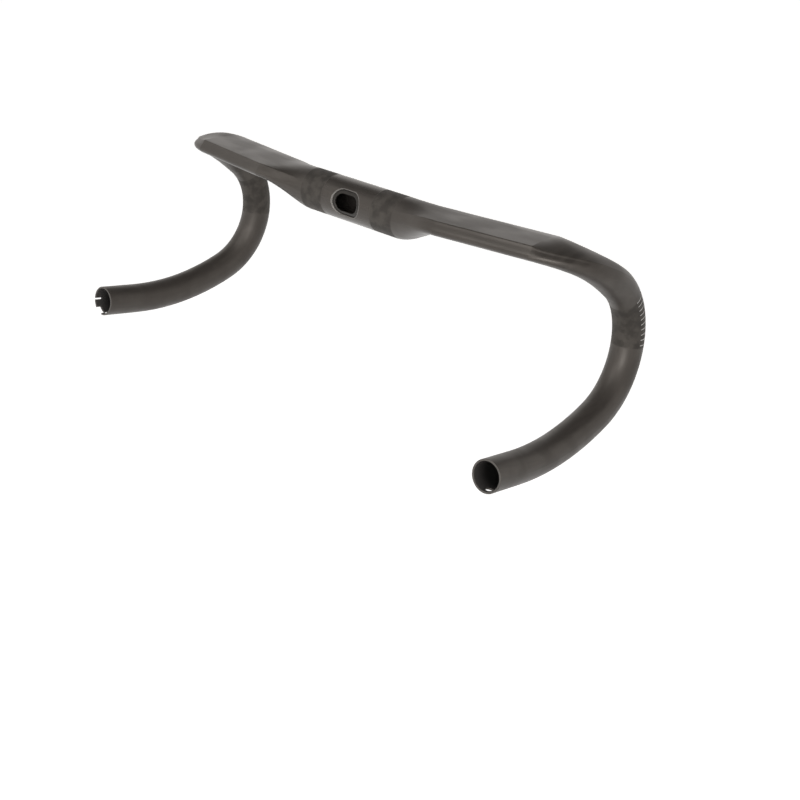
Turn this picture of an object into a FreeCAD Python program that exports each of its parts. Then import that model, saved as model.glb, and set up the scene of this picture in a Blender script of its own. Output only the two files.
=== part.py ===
import FreeCAD, Part
import math
import os

# Aero road handlebar, one hollow moulded piece. All sizes are in mm and angles in degrees.
# Origin: middle of the stem clamp. X to the rider's right, Y forward, Z up.

V = FreeCAD.Vector

# Driving sizes of the clamp and the lever tube
clamp_d = 31.8          # standard stem clamp
tube_d = 23.8           # standard lever clamp and drop tube
round_half = 46.0       # half length of the round middle
clamp_wall = 2.4
tube_wall = 1.4

# Driving sizes of the flat tops
wing_start = 90.0       # from the middle to the full wing section
wing_end = 168.5        # from the middle to the crease where the bend begins
wing_front = 23.4       # nose ahead of the section's centre
wing_rear = 22.6        # rear edge behind it
wing_top = 7.4          # above the section's centre
wing_bottom = 7.0       # below it
wing_sweep = 6.8        # forward
wing_rise = 1.3         # upward
wing_pitch = 6.6        # nose up
wing_ahead = 0.0        # section's centre ahead of the clamp axis at wing_start
wing_lift = 5.7         # and above it
SHOULDER_STEPS = ((0.2, 0.12), (0.55, 0.6))    # place along the shoulder, and how much of a wing it is

# Shape of the wing section, in shares of the sizes above
crown_ahead = 0.3       # highest point, of wing_front
edge_back = 0.79        # crisp rear edge, of wing_rear
edge_up = 0.86          # and of wing_top
bend_edge_up = 0.5      # the same in the bend, where the top falls away to the outside
lip_back = 0.06         # rounding below the edge, of wing_rear
lip_down = 0.2          # and of wing_top
tail_down = 0.1         # rearmost point, of wing_bottom
round_pull = 0.55       # fullness of the rounded quarters
flat_pull = 0.4         # of the flat top
rear_pull = 0.3         # of the rear face
lip_pull = 0.12         # of the rounding below the edge

# Driving sizes of the bends
bend_pull_in = 25.5     # how far the tops' direction carries into the bend
bend_pull_out = 19.5    # how far the drop's direction carries back
bend_fall = 22.0        # fall of the centreline through the bend
# Place along the bend, and how much of a round tube it is there
BEND_STEPS = ((0.14, 0.25), (0.32, 0.45), (0.6, 0.72), (0.82, 0.95))

# Driving sizes of the drops
reach = 83.5            # clamp axis to the foremost point of the tube's centreline
drop = 130.0            # clamp axis down to the straight ends
bend_out = 33.7         # crease to the drop's centreline, sideways at the clamp axis' height
hook_r = 54.0
lower_r = 195.0
hook_dive = 33.5        # below level where the hook's arc begins
end_length = 31.0       # straight part at each end
flare = 1.8             # drops leaning outward
toe_out = 2.4           # drops spreading towards the rear

# Driving sizes of the cable port in the rear wall of the middle
port_length = 22.5
port_height = 13.0
port_ledge = 3.2        # width of the sunken ledge round the port
port_sink = 1.1         # depth of the ledge

# Driving sizes of the cut-outs at the open ends, turned from straight down towards the outside
notch_width = 8.4
notch_depth = 4.0
notch_turn = 26.0
slit_width = 1.5
slit_depth = 6.0
slit_turn = 82.0
wire_hole_d = 6.0
wire_hole_inset = 6.0   # hole's centre from the open end

past = 5.0              # cutting solids run past the faces they cut
tiny = 0.001            # gap that joined pieces may have

clamp_r = clamp_d / 2
tube_r = tube_d / 2
hook_x = wing_end + bend_out

# Places of a section's joints on a round section, turned up from the front:
# crown, edge, under the edge, tail, keel, nose and the crown again
CLAMP_TURNS = (90.0, 156.0, 164.0, 185.0, 270.0, 360.0, 450.0)
TUBE_TURNS = (90.0, 140.0, 150.0, 180.0, 270.0, 360.0, 450.0)


def polar(radius, turn):
    angle = math.radians(turn)
    return V(radius * math.cos(angle), radius * math.sin(angle), 0)


def round_outline(radius, turns):
    """Poles of a round section, x to the front and y up, one cubic span between two joints."""
    spans = []
    for start, end in zip(turns, turns[1:]):
        handle = radius * 4 / 3 * math.tan(math.radians(end - start) / 4)
        first = polar(radius, start)
        last = polar(radius, end)
        spans.append([first, first + polar(handle, start + 90), last - polar(handle, end + 90), last])
    return spans


def wing_outline(inset, up_share):
    """Poles of the wing section, drawn inward by the wall: flat top, crisp rear edge, full belly."""
    front = wing_front - inset
    rear = wing_rear - inset
    top = wing_top - inset
    bottom = wing_bottom - inset
    crown = V(crown_ahead * front, top, 0)
    edge = V(-edge_back * rear, up_share * top, 0)
    under = edge - V(lip_back * rear, lip_down * top, 0)
    tail = V(-rear, -tail_down * bottom, 0)
    keel = V(0, -bottom, 0)
    nose = V(front, 0, 0)
    # The top falls from its level crown to the edge like a parabola
    slope = V(1, 2 * (crown.y - edge.y) / (crown.x - edge.x), 0)
    lean = tail - under
    return [
        [crown, crown - V(flat_pull * rear, 0, 0), edge + slope * (flat_pull * rear), edge],
        [edge, edge - V(round_pull * lip_back * rear, 0, 0), under - lean * lip_pull, under],
        [under, under + lean * rear_pull, tail + V(0, rear_pull * top, 0), tail],
        [tail, tail - V(0, round_pull * bottom, 0), keel - V(round_pull * rear, 0, 0), keel],
        [keel, keel + V(round_pull * front, 0, 0), nose - V(0, round_pull * bottom, 0), nose],
        [nose, nose + V(0, round_pull * top, 0), crown + V(flat_pull * front, 0, 0), crown],
    ]


def blend(first, second, share):
    """Outline between two outlines; share 0 is the first and 1 the second."""
    return [[a * (1 - share) + b * share for a, b in zip(p, q)] for p, q in zip(first, second)]


def section_axes(run, pitch):
    """Front and up directions across the bar's run, the front turned up by the pitch."""
    front = V(0, 0, 1).cross(run).normalize()
    up = run.cross(front).normalize()
    angle = math.radians(pitch)
    return front * math.cos(angle) + up * math.sin(angle), up * math.cos(angle) - front * math.sin(angle)


def section(outline, centre, run, pitch):
    """Closed wire of an outline, set across the bar."""
    front, up = section_axes(run, pitch)
    edges = []
    for span in outline:
        curve = Part.BezierCurve()
        curve.setPoles([centre + front * pole.x + up * pole.y for pole in span])
        edges.append(curve.toShape())
    return Part.Wire(edges)


def round_section(radius, turns, centre, run):
    """True circle in arcs between the same joints."""
    front, up = section_axes(run, 0)

    def at(turn):
        point = polar(radius, turn)
        return centre + front * point.x + up * point.y

    arcs = []
    for start, end in zip(turns, turns[1:]):
        arcs.append(Part.Arc(at(start), at((start + end) / 2), at(end)).toShape())
    return Part.Wire(arcs)


def heading(forward, upward):
    """Unit direction along the right half, turned forward and then upward."""
    f = math.radians(forward)
    u = math.radians(upward)
    return V(math.cos(f) * math.cos(u), math.sin(f) * math.cos(u), math.sin(u))


def wing_centre(x):
    run = heading(wing_sweep, wing_rise)
    return V(wing_start, wing_ahead, wing_lift) + run * ((x - wing_start) / run.x)


def hook_frame():
    """Forward and up directions in the plane that holds the right drop."""
    toe = math.radians(toe_out)
    lean = math.radians(flare)
    forward = V(-math.sin(toe), math.cos(toe), 0)
    up = V(-math.sin(lean) * math.cos(toe), -math.sin(lean) * math.sin(toe), math.cos(lean))
    return forward, up


def hook_point(ahead, height):
    forward, up = hook_frame()
    return V(hook_x, 0, 0) + forward * ahead + up * height


def hook_layout():
    """Arc centre of the hook (ahead, height), and the slope at which the lower arc takes over."""
    ahead = reach - hook_r
    height = wing_centre(wing_end).z - bend_fall - hook_r * math.cos(math.radians(hook_dive))
    takeover = math.degrees(math.acos((lower_r - height - drop) / (lower_r - hook_r)))
    return ahead, height, takeover


def on_arc(centre_ahead, centre_height, radius, turn):
    """Point of a drop's arc and the run there; turn is counted from the arc's top, going down in front."""
    forward, up = hook_frame()
    angle = math.radians(turn)
    point = hook_point(centre_ahead + radius * math.sin(angle), centre_height + radius * math.cos(angle))
    return point, forward * math.cos(angle) - up * math.sin(angle)


def bend_spine():
    """Centreline of the bend, from the crease to the start of the hook."""
    ahead, height, _ = hook_layout()
    start = wing_centre(wing_end)
    end, end_run = on_arc(ahead, height, hook_r, hook_dive)
    spine = Part.BezierCurve()
    spine.setPoles([start, start + heading(wing_sweep, 0) * bend_pull_in, end - end_run * bend_pull_out, end])
    return spine


def shoulder(inset_clamp, inset_tube):
    """Right shoulder, from the round middle to the full wing section."""
    wing = wing_outline(inset_tube, edge_up)
    middle = round_outline(clamp_r - inset_clamp, CLAMP_TURNS)
    begin = V(round_half, 0, 0)
    full = wing_centre(wing_start)
    wires = [round_section(clamp_r - inset_clamp, CLAMP_TURNS, begin, V(1, 0, 0))]
    for place, share in SHOULDER_STEPS:
        centre = V(begin.x + (full.x - begin.x) * place, full.y * share, full.z * share)
        run = heading(wing_sweep * share, wing_rise * share)
        wires.append(section(blend(middle, wing, share), centre, run, wing_pitch * share))
    wires.append(section(wing, full, heading(wing_sweep, wing_rise), wing_pitch))
    return Part.makeLoft(wires, True, False)


def flat_top(inset_tube):
    """Right flat top, one wing section drawn straight from the shoulder to the crease."""
    run = heading(wing_sweep, wing_rise)
    wing = wing_outline(inset_tube, edge_up)
    wires = [section(wing, wing_centre(x), run, wing_pitch) for x in (wing_start, wing_end)]
    return Part.makeLoft(wires, True, True)


def bend(inset_tube):
    """Right bend from the crease to the round tube; its flat top falls away to the outside."""
    wing = wing_outline(inset_tube, edge_up)
    fallen = wing_outline(inset_tube, bend_edge_up)
    tube = round_outline(tube_r - inset_tube, TUBE_TURNS)
    spine = bend_spine()
    wires = [section(wing, wing_centre(wing_end), heading(wing_sweep, wing_rise), wing_pitch)]
    for place, tube_share in BEND_STEPS:
        outline = blend(fallen, tube, tube_share)
        wires.append(section(outline, spine.value(place), spine.tangent(place)[0], wing_pitch * (1 - place)))
    wires.append(round_section(tube_r - inset_tube, TUBE_TURNS, spine.value(1), spine.tangent(1)[0]))
    return Part.makeLoft(wires, True, False)


def bent_tube(radius, centre_ahead, centre_height, arc_r, start, end):
    """Round tube along one arc of the drop."""
    forward, up = hook_frame()
    point, run = on_arc(centre_ahead, centre_height, arc_r, start)
    disc = Part.Face(Part.Wire(Part.makeCircle(radius, point, run)))
    return disc.revolve(hook_point(centre_ahead, centre_height), up.cross(forward), end - start)


def lower_centre_ahead():
    ahead, _, takeover = hook_layout()
    return ahead - (lower_r - hook_r) * math.sin(math.radians(takeover))


def drop_tube(radius, run_on):
    """Right drop: hook, lower arc and straight end, run on past the open end."""
    ahead, height, takeover = hook_layout()
    forward, _ = hook_frame()
    lower_ahead = lower_centre_ahead()
    hook = bent_tube(radius, ahead, height, hook_r, hook_dive, 180 - takeover)
    lower = bent_tube(radius, lower_ahead, lower_r - drop, lower_r, 180 - takeover, 180)
    end = Part.makeCylinder(radius, end_length + run_on, hook_point(lower_ahead, -drop), forward * -1)
    return [hook, lower, end]


def mirrored(shape):
    return shape.mirror(V(0, 0, 0), V(1, 0, 0))


def bar(inset_clamp, inset_tube, run_on):
    """Whole bar as a filled solid, drawn inward by the walls: one half and its mirror image."""
    right = [Part.makeCylinder(clamp_r - inset_clamp, round_half, V(0, 0, 0), V(1, 0, 0))]
    right += [shoulder(inset_clamp, inset_tube), flat_top(inset_tube), bend(inset_tube)]
    right += drop_tube(tube_r - inset_tube, run_on)
    left = [mirrored(piece) for piece in right]
    return right[0].fuse(right[1:] + left, tiny)


def stadium_prism(length, height, depth):
    """Bar with round ends, lying along X, from the origin backward along Y."""
    straight = (length - height) / 2
    r = height / 2
    block = Part.makeBox(2 * straight, depth, height, V(-straight, -depth, -r))
    ends = [Part.makeCylinder(r, depth, V(x, 0, 0), V(0, -1, 0)) for x in (-straight, straight)]
    return block.fuse(ends)


def port_cutter():
    """Cable port through the rear wall, with a ledge sunk into the clamp's surface round it."""
    depth = clamp_r + past
    hole = stadium_prism(port_length, port_height, depth)
    rim = stadium_prism(port_length + 2 * port_ledge, port_height + 2 * port_ledge, depth)
    floor = Part.makeCylinder(clamp_r - port_sink, 4 * port_length, V(-2 * port_length, 0, 0), V(1, 0, 0))
    return hole.fuse(rim.cut(floor))


def open_end():
    return hook_point(lower_centre_ahead() - end_length, -drop)


def wall_direction(turn):
    """From the right end's axis to its wall, turned from straight down towards the outside."""
    forward, up = hook_frame()
    angle = math.radians(turn)
    return forward.cross(up) * math.sin(angle) - up * math.cos(angle)


def wire_hole():
    """Cutter for the wire hole in the underside of the right end."""
    forward, _ = hook_frame()
    centre = open_end() + forward * wire_hole_inset
    return Part.makeCylinder(wire_hole_d / 2, tube_r + past, centre, wall_direction(0))


def end_notch(width, depth, turn):
    """Cutter for a square notch in the rim of the right end."""
    forward, _ = hook_frame()
    outward = wall_direction(turn)
    across = forward.cross(outward) * (width / 2)
    mouth = open_end() - forward * past
    root = open_end() + forward * depth
    corners = [mouth - across, root - across, root + across, mouth + across]
    return Part.Face(Part.makePolygon(corners + corners[:1])).extrude(outward * (tube_r + past))


shape = bar(0, 0, 0).cut(bar(clamp_wall, tube_wall, past))
notch = end_notch(notch_width, notch_depth, notch_turn)
slit = end_notch(slit_width, slit_depth, slit_turn)
shape = shape.cut([port_cutter(), wire_hole(), mirrored(wire_hole()), mirrored(notch), mirrored(slit)])

os.makedirs("parts", exist_ok=True)
shape.exportStep("parts/handlebar.step")
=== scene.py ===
import math

import bpy
from mathutils import Matrix, Vector


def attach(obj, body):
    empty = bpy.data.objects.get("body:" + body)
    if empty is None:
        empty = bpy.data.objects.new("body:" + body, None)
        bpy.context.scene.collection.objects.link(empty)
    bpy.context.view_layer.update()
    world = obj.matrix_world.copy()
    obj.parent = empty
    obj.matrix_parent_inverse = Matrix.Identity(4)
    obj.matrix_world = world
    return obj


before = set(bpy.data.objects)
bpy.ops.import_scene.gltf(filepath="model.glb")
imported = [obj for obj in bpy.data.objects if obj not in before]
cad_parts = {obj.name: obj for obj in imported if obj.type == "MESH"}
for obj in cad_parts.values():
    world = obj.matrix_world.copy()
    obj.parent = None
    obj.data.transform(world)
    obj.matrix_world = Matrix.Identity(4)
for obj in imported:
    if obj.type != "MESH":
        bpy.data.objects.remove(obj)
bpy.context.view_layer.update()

# Looks of the aero road handlebar: satin carbon, gritty grip bands, lever ticks, floor, light and camera.
# Lengths are in metres, in the part's own frame: X to the rider's right, Y forward, Z up.

# Sizes shared with the solid
TUBE_R = 0.0119
TUBE_INSIDE_R = 0.0105
HOOK_R = 0.054
HOOK_AHEAD = 0.0295
HOOK_HEIGHT = -0.05954
HOOK_X = 0.2022
LOWER_R = 0.195
LOWER_AHEAD = -0.0366
LOWER_HEIGHT = 0.065
TOE = math.radians(2.4)
LEAN = math.radians(1.8)
OPEN_END = Vector((0.209111, -0.06739, -0.129936))
PORT_STRAIGHT = 0.00475
LEDGE_R = 0.0097

# Where the flat tops pass into the drops, out from the middle; the hooks into the lower arcs, in height;
# and the hollow into the ledge's face, backward
TOPS_TO_DROPS = (0.168, 0.186)
HOOK_TO_LOWER = (-0.1, -0.112)
HOLLOW_TO_LEDGE = (-0.010, -0.011)

# Grip bands: from the middle on the clamp, and as turns down from the top of the hook on the lever zones
CLAMP_BAND = (0.0255, 0.0475)
LEVER_BAND = (math.radians(47), math.radians(89))
BAND_EDGE = 0.0006

# Cut rims, how deep the raw inside reaches, and how far in the painted light at the mouth turns to painted
# shade
RIM_WIDTH = 0.00025
RAW_DEPTH = 0.05
MOUTH_DEPTH = 0.016

# Noise patterns: what a way along the bar counts beside one across it, so that little gives long streaks,
# then scale, detail and the range in which a pattern switches, and how much of the fibres' colour shows
STREAK_ALONG = 0.05
FIBRE_SCALE = 900.0
FIBRE_SHARE = 0.5
TOW_SCALE = 190.0
TOW_SWITCH = (0.3, 0.7)
PATCH_ALONG = 0.5
PATCH_SCALE = 55.0
PATCH_DETAIL = 2.0
PATCH_SWITCH = (0.4, 0.65)
PATCH_SATIN_SWITCH = (0.35, 0.65)
MOTTLE_SCALE = 160.0
MOTTLE_DETAIL = 4.0
MOTTLE_SWITCH = (0.35, 0.65)
GRIT_SCALE = 2600.0
WEAR_SCALE = 1800.0
WEAR_SWITCH = (0.3, 0.6)

# Linear colours
TOW_DARK = (0.024, 0.0212, 0.019, 1)
TOW_PALE = (0.040, 0.0354, 0.0316, 1)
FIBRE_PALE = (0.050, 0.044, 0.039, 1)
PATCH_TONE = (0.031, 0.027, 0.024, 1)
BAND_PALE = (0.044, 0.0395, 0.035, 1)
BAND_DARK = (0.022, 0.0197, 0.0175, 1)
# Painted shade on the port's sunken ledge
LEDGE_PAINTED_SHADE = (0.015, 0.014, 0.013, 1)
# Painted light at the mouth of each open end, and painted shade deeper inside
MOUTH_PAINTED_LIGHT = (0.058, 0.055, 0.053, 1)
DEEP_PAINTED_SHADE = (0.010, 0.0095, 0.009, 1)
END_RIM_TONE = (0.060, 0.056, 0.052, 1)
# Painted highlight on the rim of the port's ledge
LEDGE_RIM_PAINTED_HIGHLIGHT = (0.22, 0.21, 0.20, 1)
SHINE_TINT = (1.0, 0.925, 0.85, 1)
TICK_WORN = (0.30, 0.29, 0.28, 1)
TICK_FRESH = (0.52, 0.51, 0.50, 1)
FLOOR_TONE = (0.8, 0.8, 0.8, 1)
WHITE = (1, 1, 1, 1)

# Roughness of the tops from tow to tow, what patches, the middle and the drops add to it, and other surfaces
SATIN_ROUGHNESS = (0.28, 0.36)
PATCH_ROUGHNESS = (-0.03, 0.07)
MIDDLE_ROUGHNESS = -0.10
DROP_ROUGHNESS = 0.09
BAND_ROUGHNESS = 0.6
TICK_ROUGHNESS = 0.5
FLOOR_ROUGHNESS = 0.9

# Strength of the shine on plain carbon, on the bands, and on the ledge and the raw inside
CARBON_SHINE = 0.44
BAND_SHINE = 0.32
DULL_SHINE = 0.3

# Relief: rounded edges, fibres and grit
EDGE_ROUND = 0.0010
EDGE_SAMPLES = 8
FIBRE_RELIEF = 0.12
FIBRE_DEPTH = 0.00006
GRIT_RELIEF = 0.5
GRIT_DEPTH = 0.0002

# Lever ticks on the outer side of each hook
TICK_COUNT = 10
TICK_FROM = math.radians(47)
TICK_TO = math.radians(87)
TICK_ROUND = (math.radians(66), math.radians(100))
TICK_STEPS = 6
TICK_WIDTH = 0.0006
TICK_PROUD = 0.00006

# Light: white walls all round under a dark ceiling, and two soft boxes on the camera's side.
# A box has its turn from +X towards +Y and its rise above level, in degrees, and its power in watts.
WALL_TOP = (0.5, 0.8)
WALL_LIGHT = 1.07
WARM_WHITE = (1.0, 0.97, 0.94, 1)
BOX_AWAY = 2.0
BOX_SIZE = 1.1
SOFT_BOXES = {"low_box": (-60, 5, 22.0), "high_box": (-100, 35, 10.0)}

# Camera solved on the photograph, for a frame of 800 by 800
EYE = Vector((0.7576, -0.8092, 0.2156))
VIEW_RIGHT = Vector((0.7219, 0.6769, 0.1438))
VIEW_DOWN = Vector((0.3153, -0.1368, -0.9391))
VIEW_REACH = 200
FOCAL_PIXELS = 1500.38
FRAME_PIXELS = 800
SENSOR = 36.0

# Floor, and how much it glows towards the camera and in reflections
FLOOR_Z = -0.42
FLOOR_REACH = 60.0
FLOOR_GLOW = 0.66


def hook_axes():
    """Forward, up and outward directions of the plane that holds the right drop."""
    forward = Vector((-math.sin(TOE), math.cos(TOE), 0))
    up = Vector((-math.sin(LEAN) * math.cos(TOE), -math.sin(LEAN) * math.sin(TOE), math.cos(LEAN)))
    return forward, up, forward.cross(up)


def hook_surface(turn, round_turn, lift):
    """Point on the right hook: turn down from the hook's top, round_turn from its front to its outside."""
    forward, up, outward = hook_axes()
    ray = forward * math.sin(turn) + up * math.cos(turn)
    centre = Vector((HOOK_X, 0, 0)) + forward * HOOK_AHEAD + up * HOOK_HEIGHT + ray * HOOK_R
    return centre + (ray * math.cos(round_turn) + outward * math.sin(round_turn)) * (TUBE_R + lift)


class Nodes:
    """Short calls for building one node tree."""

    def __init__(self, tree):
        self.tree = tree

    def add(self, kind, **settings):
        node = self.tree.nodes.new(kind)
        for key, value in settings.items():
            setattr(node, key, value)
        return node

    def put(self, socket, value):
        """Link an output to the socket, or set a constant on it."""
        if hasattr(value, "is_output"):
            self.tree.links.new(value, socket)
        else:
            socket.default_value = value

    def math(self, operation, first, second=0.0, clamp=False):
        node = self.add("ShaderNodeMath", operation=operation, use_clamp=clamp)
        self.put(node.inputs[0], first)
        self.put(node.inputs[1], second)
        return node.outputs[0]

    def total(self, *values):
        result = values[0]
        for value in values[1:]:
            result = self.math("ADD", result, value)
        return result

    def length(self, first, second):
        squares = self.total(self.math("MULTIPLY", first, first), self.math("MULTIPLY", second, second))
        return self.math("SQRT", squares)

    def polar(self, ahead, height, centre_ahead, centre_height):
        """Turn from straight up towards the front, and distance, round a centre."""
        ahead = self.math("SUBTRACT", ahead, centre_ahead)
        height = self.math("SUBTRACT", height, centre_height)
        return self.math("ARCTAN2", ahead, height), self.length(ahead, height)

    def step(self, value, low, high, start=0.0, end=1.0):
        """Smooth change from start at low to end at high; low may be the larger of the two."""
        node = self.add("ShaderNodeMapRange", interpolation_type="SMOOTHSTEP")
        for socket, number in zip(node.inputs, (value, low, high, start, end)):
            self.put(socket, number)
        return node.outputs["Result"]

    def between(self, value, low, high, edge):
        """1 between low and high, with soft edges."""
        rise = self.step(value, low - edge, low + edge)
        fall = self.step(value, high - edge, high + edge)
        return self.math("SUBTRACT", rise, fall, clamp=True)

    def split(self, vector):
        node = self.add("ShaderNodeSeparateXYZ")
        self.put(node.inputs[0], vector)
        return node.outputs

    def combine(self, x, y, z):
        node = self.add("ShaderNodeCombineXYZ")
        for socket, value in zip(node.inputs, (x, y, z)):
            self.put(socket, value)
        return node.outputs[0]

    def noise(self, vector, scale, detail=3.0):
        node = self.add("ShaderNodeTexNoise")
        self.put(node.inputs["Vector"], vector)
        self.put(node.inputs["Scale"], scale)
        self.put(node.inputs["Detail"], detail)
        return node.outputs["Fac"]

    def mix(self, factor, first, second, kind="RGBA"):
        """Mix of two values, which are colours unless kind says otherwise."""
        node = self.add("ShaderNodeMix", data_type=kind)
        self.put(node.inputs["Factor"], factor)
        self.put(node.inputs["A"], first)
        self.put(node.inputs["B"], second)
        return node.outputs["Result"]

    def blend(self, factor, first, second):
        """Mix of two numbers."""
        return self.mix(factor, first, second, "FLOAT")

    def bump(self, strength, distance, height, normal):
        node = self.add("ShaderNodeBump")
        self.put(node.inputs["Strength"], strength)
        self.put(node.inputs["Distance"], distance)
        self.put(node.inputs["Height"], height)
        self.put(node.inputs["Normal"], normal)
        return node.outputs[0]

    def seen(self):
        """1 for rays that show the background: from the camera, or off and through the object."""
        ray = self.add("ShaderNodeLightPath").outputs
        straight = self.math("MAXIMUM", ray["Is Camera Ray"], ray["Is Transmission Ray"])
        return self.math("MAXIMUM", straight, ray["Is Glossy Ray"])


def material(name):
    """New material with its nodes and its surface shader."""
    result = bpy.data.materials.new(name)
    result.use_nodes = True
    return result, Nodes(result.node_tree), result.node_tree.nodes["Principled BSDF"].inputs


def drop_mask(n, x):
    """0 on the tops and 1 on the drops."""
    return n.step(n.math("ABSOLUTE", x), *TOPS_TO_DROPS)


def streaks(n, spot, scale):
    """Fibre pattern, long along the bar and fine across it, on the tops, the hooks and the lower arcs."""
    x, y, z = spot
    hook_turn, hook_out = n.polar(y, z, HOOK_AHEAD, HOOK_HEIGHT)
    lower_turn, lower_out = n.polar(y, z, LOWER_AHEAD, LOWER_HEIGHT)
    along_top = n.combine(n.math("MULTIPLY", x, STREAK_ALONG), y, z)
    along_hook = n.combine(x, n.math("MULTIPLY", hook_turn, STREAK_ALONG * HOOK_R), hook_out)
    along_lower = n.combine(x, n.math("MULTIPLY", lower_turn, STREAK_ALONG * LOWER_R), lower_out)
    on_lower = n.step(z, *HOOK_TO_LOWER)
    drop = n.blend(on_lower, n.noise(along_hook, scale), n.noise(along_lower, scale))
    return n.blend(drop_mask(n, x), n.noise(along_top, scale), drop)


def grip_bands(n, spot):
    """1 on the gritty bands of the clamp zone and of the lever zones."""
    x, y, z = spot
    clamp_band = n.between(n.math("ABSOLUTE", x), *CLAMP_BAND, BAND_EDGE)
    hook_turn = n.polar(y, z, HOOK_AHEAD, HOOK_HEIGHT)[0]
    lever_band = n.between(hook_turn, *LEVER_BAND, BAND_EDGE / HOOK_R)
    return n.math("MAXIMUM", clamp_band, n.math("MULTIPLY", lever_band, drop_mask(n, x)))


def open_ends(n, spot):
    """Depth into the open ends, their cut rim, and the raw inside of the tube, which gets painted light at
    the mouth and painted shade deeper in.
    """
    x, y, z = spot
    across = n.math("ABSOLUTE", x)
    along = n.total(n.math("MULTIPLY", across, -math.sin(TOE)), n.math("MULTIPLY", y, math.cos(TOE)))
    aside = n.total(n.math("MULTIPLY", across, math.cos(TOE)), n.math("MULTIPLY", y, math.sin(TOE)))
    end_along = OPEN_END.y * math.cos(TOE) - OPEN_END.x * math.sin(TOE)
    end_aside = OPEN_END.x * math.cos(TOE) + OPEN_END.y * math.sin(TOE)
    depth = n.math("SUBTRACT", along, end_along)
    off_axis = n.length(n.math("SUBTRACT", aside, end_aside), n.math("SUBTRACT", z, OPEN_END.z))
    rim = n.step(depth, RIM_WIDTH, 0.0)
    in_tube = n.step(off_axis, TUBE_INSIDE_R + 2 * RIM_WIDTH, TUBE_INSIDE_R)
    # Mask of the raw inside, which gets painted light at the mouth and painted shade deeper in
    raw_and_painted_inside = n.math("MULTIPLY", in_tube, n.step(depth, RAW_DEPTH, RAW_DEPTH / 2))
    return depth, rim, raw_and_painted_inside


def port_marks(n, spot):
    """The port's sunken ledge, painted dark as shade, and the ledge's rim, painted pale as a highlight."""
    x, y, z = spot
    beyond = n.math("MAXIMUM", n.math("SUBTRACT", n.math("ABSOLUTE", x), PORT_STRAIGHT), 0.0)
    from_port = n.length(beyond, z)
    behind = n.step(y, *HOLLOW_TO_LEDGE)
    # The sunken ledge, which gets painted shade
    shaded_ledge = n.step(from_port, LEDGE_R - RIM_WIDTH, LEDGE_R - 2 * RIM_WIDTH)
    # The band round the ledge's edge, which gets a painted highlight
    rim = n.between(from_port, LEDGE_R - RIM_WIDTH, LEDGE_R + RIM_WIDTH, RIM_WIDTH)
    return n.math("MULTIPLY", shaded_ledge, behind), n.math("MULTIPLY", rim, behind)


def carbon():
    """Satin clear-coated carbon: fibre streaks along the bar, gritty grip bands, pale cut rims, painted
    shade and a painted highlight at the port, and painted light and shade inside the open ends.
    """
    result, n, surface = material("satin_carbon")
    place = n.add("ShaderNodeTexCoord").outputs["Object"]
    spot = n.split(place)
    x, y, z = spot
    fibre = streaks(n, spot, FIBRE_SCALE)
    tow = streaks(n, spot, TOW_SCALE)
    patches = n.noise(n.combine(n.math("MULTIPLY", x, PATCH_ALONG), y, z), PATCH_SCALE, PATCH_DETAIL)
    mottle = n.noise(place, MOTTLE_SCALE, MOTTLE_DETAIL)
    band = grip_bands(n, spot)
    depth, end_rim, raw_and_painted_inside = open_ends(n, spot)
    shaded_ledge, ledge_rim_highlight = port_marks(n, spot)

    body = n.mix(n.step(tow, *TOW_SWITCH), TOW_DARK, TOW_PALE)
    body = n.mix(n.math("MULTIPLY", fibre, FIBRE_SHARE), body, FIBRE_PALE)
    body = n.mix(n.step(patches, *PATCH_SWITCH), body, PATCH_TONE)
    body = n.mix(band, body, n.mix(n.step(mottle, *MOTTLE_SWITCH), BAND_PALE, BAND_DARK))
    # Painted shade on the port's sunken ledge
    body = n.mix(shaded_ledge, body, LEDGE_PAINTED_SHADE)
    # Painted light at the mouth of each open end, fading to painted shade deeper inside
    body = n.mix(raw_and_painted_inside, body, n.mix(n.step(depth, 0.0, MOUTH_DEPTH), MOUTH_PAINTED_LIGHT, DEEP_PAINTED_SHADE))
    body = n.mix(end_rim, body, END_RIM_TONE)
    # Painted highlight along the rim of the port's ledge
    body = n.mix(ledge_rim_highlight, body, LEDGE_RIM_PAINTED_HIGHLIGHT)
    n.put(surface["Base Color"], body)

    # The middle between the clamp bands is smoother than the tops, and the drops are rougher
    across = n.math("ABSOLUTE", x)
    middle = n.step(across, CLAMP_BAND[0], CLAMP_BAND[0] - BAND_EDGE, 0.0, MIDDLE_ROUGHNESS)
    drops = n.math("MULTIPLY", drop_mask(n, x), DROP_ROUGHNESS)
    patchy = n.step(patches, *PATCH_SATIN_SWITCH, *PATCH_ROUGHNESS)
    satin = n.total(n.blend(tow, *SATIN_ROUGHNESS), patchy, middle, drops)
    n.put(surface["Roughness"], n.blend(band, satin, BAND_ROUGHNESS))
    shine = n.blend(band, CARBON_SHINE, BAND_SHINE)
    n.put(surface["Specular IOR Level"], n.blend(n.math("MAXIMUM", shaded_ledge, raw_and_painted_inside), shine, DULL_SHINE))
    n.put(surface["Specular Tint"], SHINE_TINT)

    edge = n.add("ShaderNodeBevel", samples=EDGE_SAMPLES)
    n.put(edge.inputs["Radius"], EDGE_ROUND)
    relief = n.bump(FIBRE_RELIEF, FIBRE_DEPTH, fibre, edge.outputs[0])
    grit = n.bump(n.math("MULTIPLY", band, GRIT_RELIEF), GRIT_DEPTH, n.noise(place, GRIT_SCALE), relief)
    n.put(surface["Normal"], grit)
    return result


def tick_paint():
    """Pale grey print with a little wear."""
    result, n, surface = material("tick_paint")
    place = n.add("ShaderNodeTexCoord").outputs["Object"]
    wear = n.step(n.noise(place, WEAR_SCALE), *WEAR_SWITCH)
    n.put(surface["Base Color"], n.mix(wear, TICK_WORN, TICK_FRESH))
    n.put(surface["Roughness"], TICK_ROUGHNESS)
    return result


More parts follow.
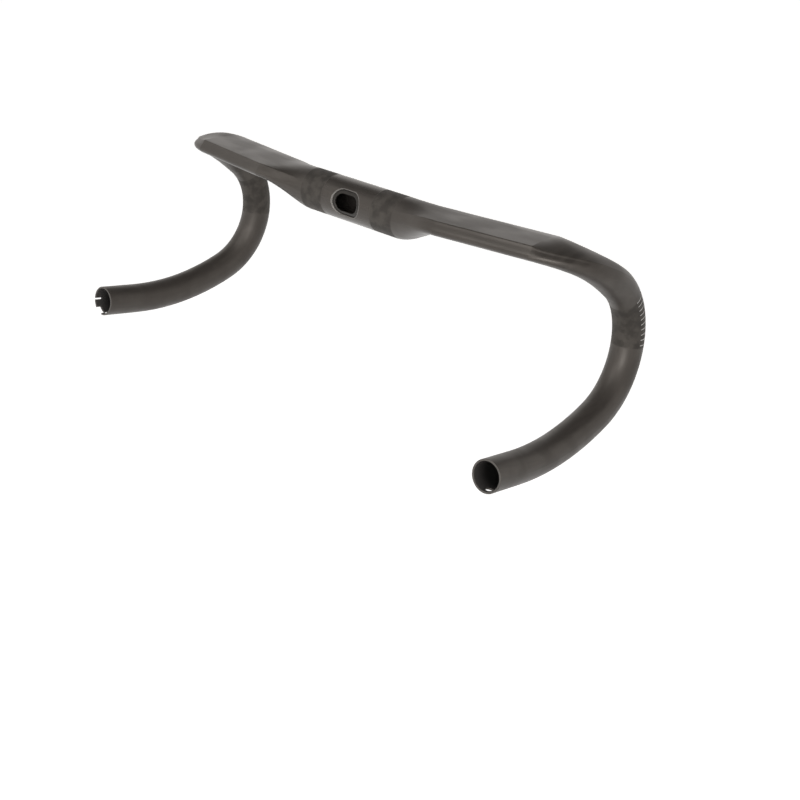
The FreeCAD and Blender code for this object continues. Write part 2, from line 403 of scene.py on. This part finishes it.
def lever_ticks(side, paint):
    """Thin printed ticks round the outer side of one hook; side is 1 on the right and -1 on the left."""
    points = []
    faces = []
    half = TICK_WIDTH / 2 / HOOK_R
    for tick in range(TICK_COUNT):
        turn = TICK_FROM + (TICK_TO - TICK_FROM) * tick / (TICK_COUNT - 1)
        for step in range(TICK_STEPS + 1):
            round_turn = TICK_ROUND[0] + (TICK_ROUND[1] - TICK_ROUND[0]) * step / TICK_STEPS
            for edge in (turn - half, turn + half):
                point = hook_surface(edge, round_turn, TICK_PROUD)
                points.append((side * point.x, point.y, point.z))
            if step:
                last = len(points) - 1
                face = (last - 3, last - 2, last, last - 1)
                faces.append(face if side > 0 else face[::-1])
    name = "lever_ticks_right" if side > 0 else "lever_ticks_left"
    mesh = bpy.data.meshes.new(name)
    mesh.from_pydata(points, [], faces)
    mesh.materials.append(paint)
    piece = bpy.data.objects.new(name, mesh)
    bpy.context.collection.objects.link(piece)
    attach(piece, "root")


def floor():
    """Pale floor, white to the camera and to reflections, that still takes the bar's shadow."""
    result, n, surface = material("pale_floor")
    n.put(surface["Base Color"], FLOOR_TONE)
    n.put(surface["Roughness"], FLOOR_ROUGHNESS)
    n.put(surface["Specular IOR Level"], 0.0)
    n.put(surface["Emission Color"], WHITE)
    n.put(surface["Emission Strength"], n.math("MULTIPLY", n.seen(), FLOOR_GLOW))
    mesh = bpy.data.meshes.new("floor")
    corners = [(-1, -1), (1, -1), (1, 1), (-1, 1)]
    mesh.from_pydata([(u * FLOOR_REACH, v * FLOOR_REACH, FLOOR_Z) for u, v in corners], [], [(0, 1, 2, 3)])
    mesh.materials.append(result)
    plane = bpy.data.objects.new("floor", mesh)
    bpy.context.collection.objects.link(plane)


def soft_box(name, turn, raised, power):
    """Square soft lamp aimed at the middle of the bar."""
    turn = math.radians(turn)
    raised = math.radians(raised)
    toward = Vector((math.cos(turn) * math.cos(raised), math.sin(turn) * math.cos(raised), math.sin(raised)))
    lamp = bpy.data.lights.new(name, "AREA")
    lamp.size = BOX_SIZE
    lamp.energy = power
    item = bpy.data.objects.new(name, lamp)
    item.location = toward * BOX_AWAY
    item.rotation_euler = toward.to_track_quat("Z", "Y").to_euler()
    bpy.context.collection.objects.link(item)


def studio_light():
    """White room with a dark ceiling, which keeps the bar's upward faces dark, and the soft boxes."""
    world = bpy.data.worlds.new("studio")
    world.use_nodes = True
    n = Nodes(world.node_tree)
    height = n.split(n.add("ShaderNodeTexCoord").outputs["Generated"])[2]
    shade = world.node_tree.nodes["Background"].inputs
    n.put(shade["Color"], WARM_WHITE)
    n.put(shade["Strength"], n.step(height, *WALL_TOP, WALL_LIGHT, 0.0))
    bpy.context.scene.world = world
    for name, settings in SOFT_BOXES.items():
        soft_box(name, *settings)


def camera():
    """Camera at the photograph's viewing angle."""
    forward = VIEW_RIGHT.cross(VIEW_DOWN)
    lens = bpy.data.cameras.new("camera")
    lens.sensor_width = SENSOR
    lens.lens = SENSOR * FOCAL_PIXELS / FRAME_PIXELS
    lens.clip_end = VIEW_REACH
    item = bpy.data.objects.new("camera", lens)
    turn = Matrix((VIEW_RIGHT, -VIEW_DOWN, -forward)).transposed()
    item.matrix_world = Matrix.Translation(EYE) @ turn.to_4x4()
    bpy.context.collection.objects.link(item)
    bpy.context.scene.camera = item


def dress():
    """Carbon on the bar, and the ticks on both hooks."""
    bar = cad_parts["handlebar"]
    bar.data.materials.clear()
    bar.data.materials.append(carbon())
    paint = tick_paint()
    for side in (1, -1):
        lever_ticks(side, paint)


dress()
floor()
studio_light()
camera()
bpy.context.scene.view_settings.view_transform = "Standard"
